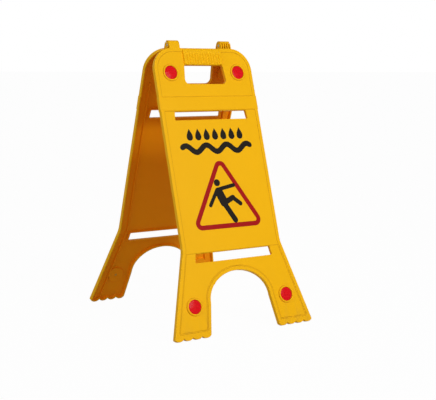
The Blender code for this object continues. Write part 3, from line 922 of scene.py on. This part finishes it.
class FLOORSIGN_OT_reflectors(bpy.types.Operator):
    """Builds the eight reflectors, each a lens on its base"""

    bl_idname = "floorsign.reflectors"
    bl_label = "Reflectors"

    def execute(self, context):
        look = context.scene.floor_sign_look
        red, backing = lens_red(look), base_ochre(look)
        under = FACE - SEAT_DEPTH + 0.0003
        seat_end = FACE - SEAT_DEPTH - SEAT_FLOOR
        peg, soft = 0.0030, 0.0004
        base = Shell()
        top = under + 0.0018
        revolve(
            base,
            [(0, top)] + quarter((LENS_RADIUS - soft, top), (LENS_RADIUS, top - soft), False)
            + quarter((LENS_RADIUS, under + soft), (LENS_RADIUS - soft, under), True)
            + quarter((peg + soft, under), (peg, under - soft), False)
            + quarter((peg, seat_end + soft), (peg - soft, seat_end), True)
            + [(0.0012, seat_end), (0.0006, seat_end + 0.0005), (0, seat_end + 0.0006)],
        )
        lens = Shell()
        low = under + 0.0021
        edge = low + 0.0014
        inner = LENS_RADIUS - 0.0022
        dome = [(inner * t, edge + 0.0009 * (1 - t * t)) for t in np.linspace(0, 1, 24)]
        revolve(
            lens,
            dome + [(inner + 0.0003, edge - 0.0001)]
            + quarter((LENS_RADIUS - 0.0006, edge - 0.0001), (LENS_RADIUS, edge - 0.0007), False)
            + quarter((LENS_RADIUS, low + 0.0003), (LENS_RADIUS - 0.0003, low), True) + [(0, low)],
        )
        for node in sorted(frame["nodes"]):
            if "_reflector_" not in node:
                continue
            body, turned = ("rear", True) if node.startswith("rear") else ("front", False)
            place = panel_place(turned)
            across, up, _ = place.inverted() @ centre_of(node)
            kind = "lens" if node.endswith("lens") else "base"
            mesh = (lens if kind == "lens" else base).mesh(f"{node}_skin", place @ Matrix.Translation((across, up, 0)))
            stand(f"{node}_skin", mesh, red if kind == "lens" else backing, body, f"reflector_{kind}", [node])
        return {"FINISHED"}


class FLOORSIGN_OT_pins(bpy.types.Operator):
    """Builds the two hinge pins"""

    bl_idname = "floorsign.pins"
    bl_label = "Hinge Pins"

    def execute(self, context):
        steel = pin_steel(context.scene.floor_sign_look)
        half, soft = KNUCKLE_WIDTH / 2, PIN_RADIUS / 4
        pin = Shell()
        dome = [(0, half), (PIN_RADIUS * 0.4, half - 0.00005)]
        dome += quarter((PIN_RADIUS - soft, half - 0.0001), (PIN_RADIUS, half - soft), False)
        along = [(PIN_RADIUS, h) for h in np.linspace(half * 0.8, -half * 0.8, 9)]
        revolve(pin, dome + along + [(r, -h) for r, h in dome[::-1]], 48)
        for node, body in (("hinge_pin_left", "rear"), ("hinge_pin_right", "front")):
            place = Matrix.Translation(centre_of(node)) @ Matrix.Rotation(math.pi / 2, 4, "Y")
            stand(f"{node}_skin", pin.mesh(f"{node}_skin", place), steel, body, "hinge_pin", [node])
        return {"FINISHED"}


class FLOORSIGN_OT_print(bpy.types.Operator):
    """Prints the warning triangle with its slipping figure, the drops and the wave on both faces"""

    bl_idname = "floorsign.print"
    bl_label = "Print"

    def execute(self, context):
        look = context.scene.floor_sign_look
        field, thick = FACE - FIELD, look.ink_thickness
        red, black = Shell(), Shell()
        outer = triangle(0.188, 0.165, -0.3625, 0.0, 0.0150)
        red.slab(outer, field - thick, field + thick, 0.0, [offset(outer, 0.0105)])
        marks = [ring(-0.0147, -0.3160, 0.0078, 48)]
        marks += [
            limb((-0.0135, -0.3365), (-0.0035, -0.3605), 0.0205),
            limb((-0.0090, -0.3300), (0.0270, -0.3235), 0.0086),
            limb((-0.0185, -0.3335), (-0.0395, -0.3650), 0.0084),
            limb((0.0005, -0.3600), (0.0200, -0.3510), 0.0120),
            limb((0.0200, -0.3510), (0.0375, -0.3655), 0.0100),
            limb((-0.0030, -0.3640), (0.0180, -0.4010), 0.0128),
        ]
        marks += [drop(x, -0.2065, 0.0132) for x in np.linspace(-0.0645, 0.0645, 7)]
        marks.append(wave(0.0915, -0.2385, 0.0075, 0.0125, 3.5))
        for i, mark in enumerate(marks):
            # Each mark is a hair thicker than the one below it, so that no two faces lie in one plane.
            black.slab(mark, field - thick, field + thick * (1 + 0.1 * (i % 8)))
        inks = (
            ("triangle", red, "Red Ink", look.red, "print_red"),
            ("marks", black, "Black Ink", look.black, "print_black"),
        )
        for word, shell, title, colour, slot in inks:
            finish = ink(title, colour)
            for body, turned in BODIES:
                name = f"{body}_{word}_print"
                stand(name, shell.mesh(name, panel_place(turned)), finish, body, slot)
        return {"FINISHED"}


class FLOORSIGN_OT_stage(bpy.types.Operator):
    """Sets the floor, the lamps, the world and the camera"""

    bl_idname = "floorsign.stage"
    bl_label = "Stage"

    def execute(self, context):
        scene, stage = context.scene, context.scene.floor_sign_stage
        floor = Finish("Pale Floor", 0.9)
        pale = stage.floor
        cloud = floor.noise(2.0)
        colour = floor.mix(cloud, (pale, pale, pale, 1.0), (pale * 0.99, pale * 0.99, pale, 1.0))
        floor.finish(Base_Color=colour)
        path = floor.node("ShaderNodeLightPath", "Is Camera Ray")
        outputs = path.socket.node.outputs
        seen = path + Value(floor.tree, outputs["Is Glossy Ray"])
        seen = (seen + Value(floor.tree, outputs["Is Transmission Ray"])).clamp()
        white = floor.node("ShaderNodeEmission", "Emission", Color=(1.0, 1.0, 1.0, 1.0), Strength=1.0)
        blend = floor.tree.nodes.new("ShaderNodeMixShader")
        feed(floor.tree, blend.inputs[0], seen * 0.975)
        floor.tree.links.new(floor.shader.outputs[0], blend.inputs[1])
        floor.tree.links.new(white.socket, blend.inputs[2])
        out = floor.tree.nodes["Material Output"]
        floor.tree.links.new(blend.outputs[0], out.inputs["Surface"])

        span = 40.0
        mesh = bpy.data.meshes.new("floor")
        mesh.from_pydata([(-span, -span, 0), (span, -span, 0), (span, span, 0), (-span, span, 0)], [], [(0, 1, 2, 3)])
        mesh.materials.append(floor.material)
        ground = bpy.data.objects.new("floor", mesh)
        scene.collection.objects.link(ground)

        world = bpy.data.worlds.new("Studio")
        scene.world = world
        world.use_nodes = True
        tree = world.node_tree
        light = tree.nodes["Background"]
        light.inputs["Color"].default_value = (1.0, 1.0, 1.0, 1.0)
        light.inputs["Strength"].default_value = stage.sky
        shown = tree.nodes.new("ShaderNodeBackground")
        shown.inputs["Color"].default_value = (1.0, 1.0, 1.0, 1.0)
        rays = tree.nodes.new("ShaderNodeLightPath")
        mixed = tree.nodes.new("ShaderNodeMixShader")
        seen = Value(tree, rays.outputs["Is Camera Ray"]) + Value(tree, rays.outputs["Is Glossy Ray"])
        seen = (seen + Value(tree, rays.outputs["Is Transmission Ray"])).clamp()
        feed(tree, mixed.inputs[0], seen)
        tree.links.new(light.outputs[0], mixed.inputs[1])
        tree.links.new(shown.outputs[0], mixed.inputs[2])
        tree.links.new(mixed.outputs[0], tree.nodes["World Output"].inputs["Surface"])

        middle = Vector((0.0, 0.0, AXIS_HEIGHT * 0.5))
        lamps = (("key", (0.7, -3.0, 1.7), 1.4, stage.key), ("fill", (-3.0, -0.6, 1.5), 1.4, stage.fill))
        for name, place, size, power in lamps:
            lamp = bpy.data.lights.new(name, "AREA")
            lamp.shape = "DISK"
            lamp.size, lamp.energy = size, power
            holder = bpy.data.objects.new(name, lamp)
            aim = (middle - Vector(place)).to_track_quat("-Z", "Y").to_matrix().to_4x4()
            holder.matrix_world = Matrix.Translation(place) @ aim
            scene.collection.objects.link(holder)

        yaw, pitch, roll = stage.camera_turn
        ahead = Vector((math.sin(yaw) * math.cos(pitch), math.cos(yaw) * math.cos(pitch), math.sin(pitch)))
        right = Vector((math.cos(yaw), -math.sin(yaw), 0))
        up = right.cross(ahead)
        tilted = right * math.cos(roll) + up * math.sin(roll)
        upright = up * math.cos(roll) - right * math.sin(roll)
        camera = bpy.data.cameras.new("camera")
        camera.lens = stage.camera_lens
        camera.clip_end = 100
        holder = bpy.data.objects.new("camera", camera)
        turn = Matrix((tilted, upright, -ahead)).transposed().to_4x4()
        holder.matrix_world = Matrix.Translation(Vector((0, 0, AXIS_HEIGHT)) + Vector(stage.camera_place)) @ turn
        scene.collection.objects.link(holder)
        scene.camera = holder
        scene.view_settings.view_transform = "Standard"
        return {"FINISHED"}


class FLOORSIGN_PT_sidebar(bpy.types.Panel):
    bl_label = "Floor Sign"
    bl_idname = "FLOORSIGN_PT_sidebar"
    bl_space_type = "VIEW_3D"
    bl_region_type = "UI"
    bl_category = "Floor Sign"

    def draw(self, context):
        for group in (context.scene.floor_sign_look, context.scene.floor_sign_stage):
            box = self.layout.box()
            for key in group.bl_rna.properties.keys():
                if key not in ("rna_type", "name"):
                    box.prop(group, key)
        for operator in OPERATORS:
            self.layout.operator(operator.bl_idname)


OPERATORS = (
    FLOORSIGN_OT_panels,
    FLOORSIGN_OT_reflectors,
    FLOORSIGN_OT_pins,
    FLOORSIGN_OT_print,
    FLOORSIGN_OT_stage,
)
CLASSES = (FloorSignLook, FloorSignStage, *OPERATORS, FLOORSIGN_PT_sidebar)


def register():
    for cls in CLASSES:
        bpy.utils.register_class(cls)
    bpy.types.Scene.floor_sign_look = bpy.props.PointerProperty(type=FloorSignLook)
    bpy.types.Scene.floor_sign_stage = bpy.props.PointerProperty(type=FloorSignStage)


def unregister():
    del bpy.types.Scene.floor_sign_stage
    del bpy.types.Scene.floor_sign_look
    for cls in reversed(CLASSES):
        bpy.utils.unregister_class(cls)


def main():
    register()
    bpy.ops.floorsign.panels()
    bpy.ops.floorsign.reflectors()
    bpy.ops.floorsign.pins()
    bpy.ops.floorsign.print()
    bpy.ops.floorsign.stage()


if __name__ == "__main__":
    main()
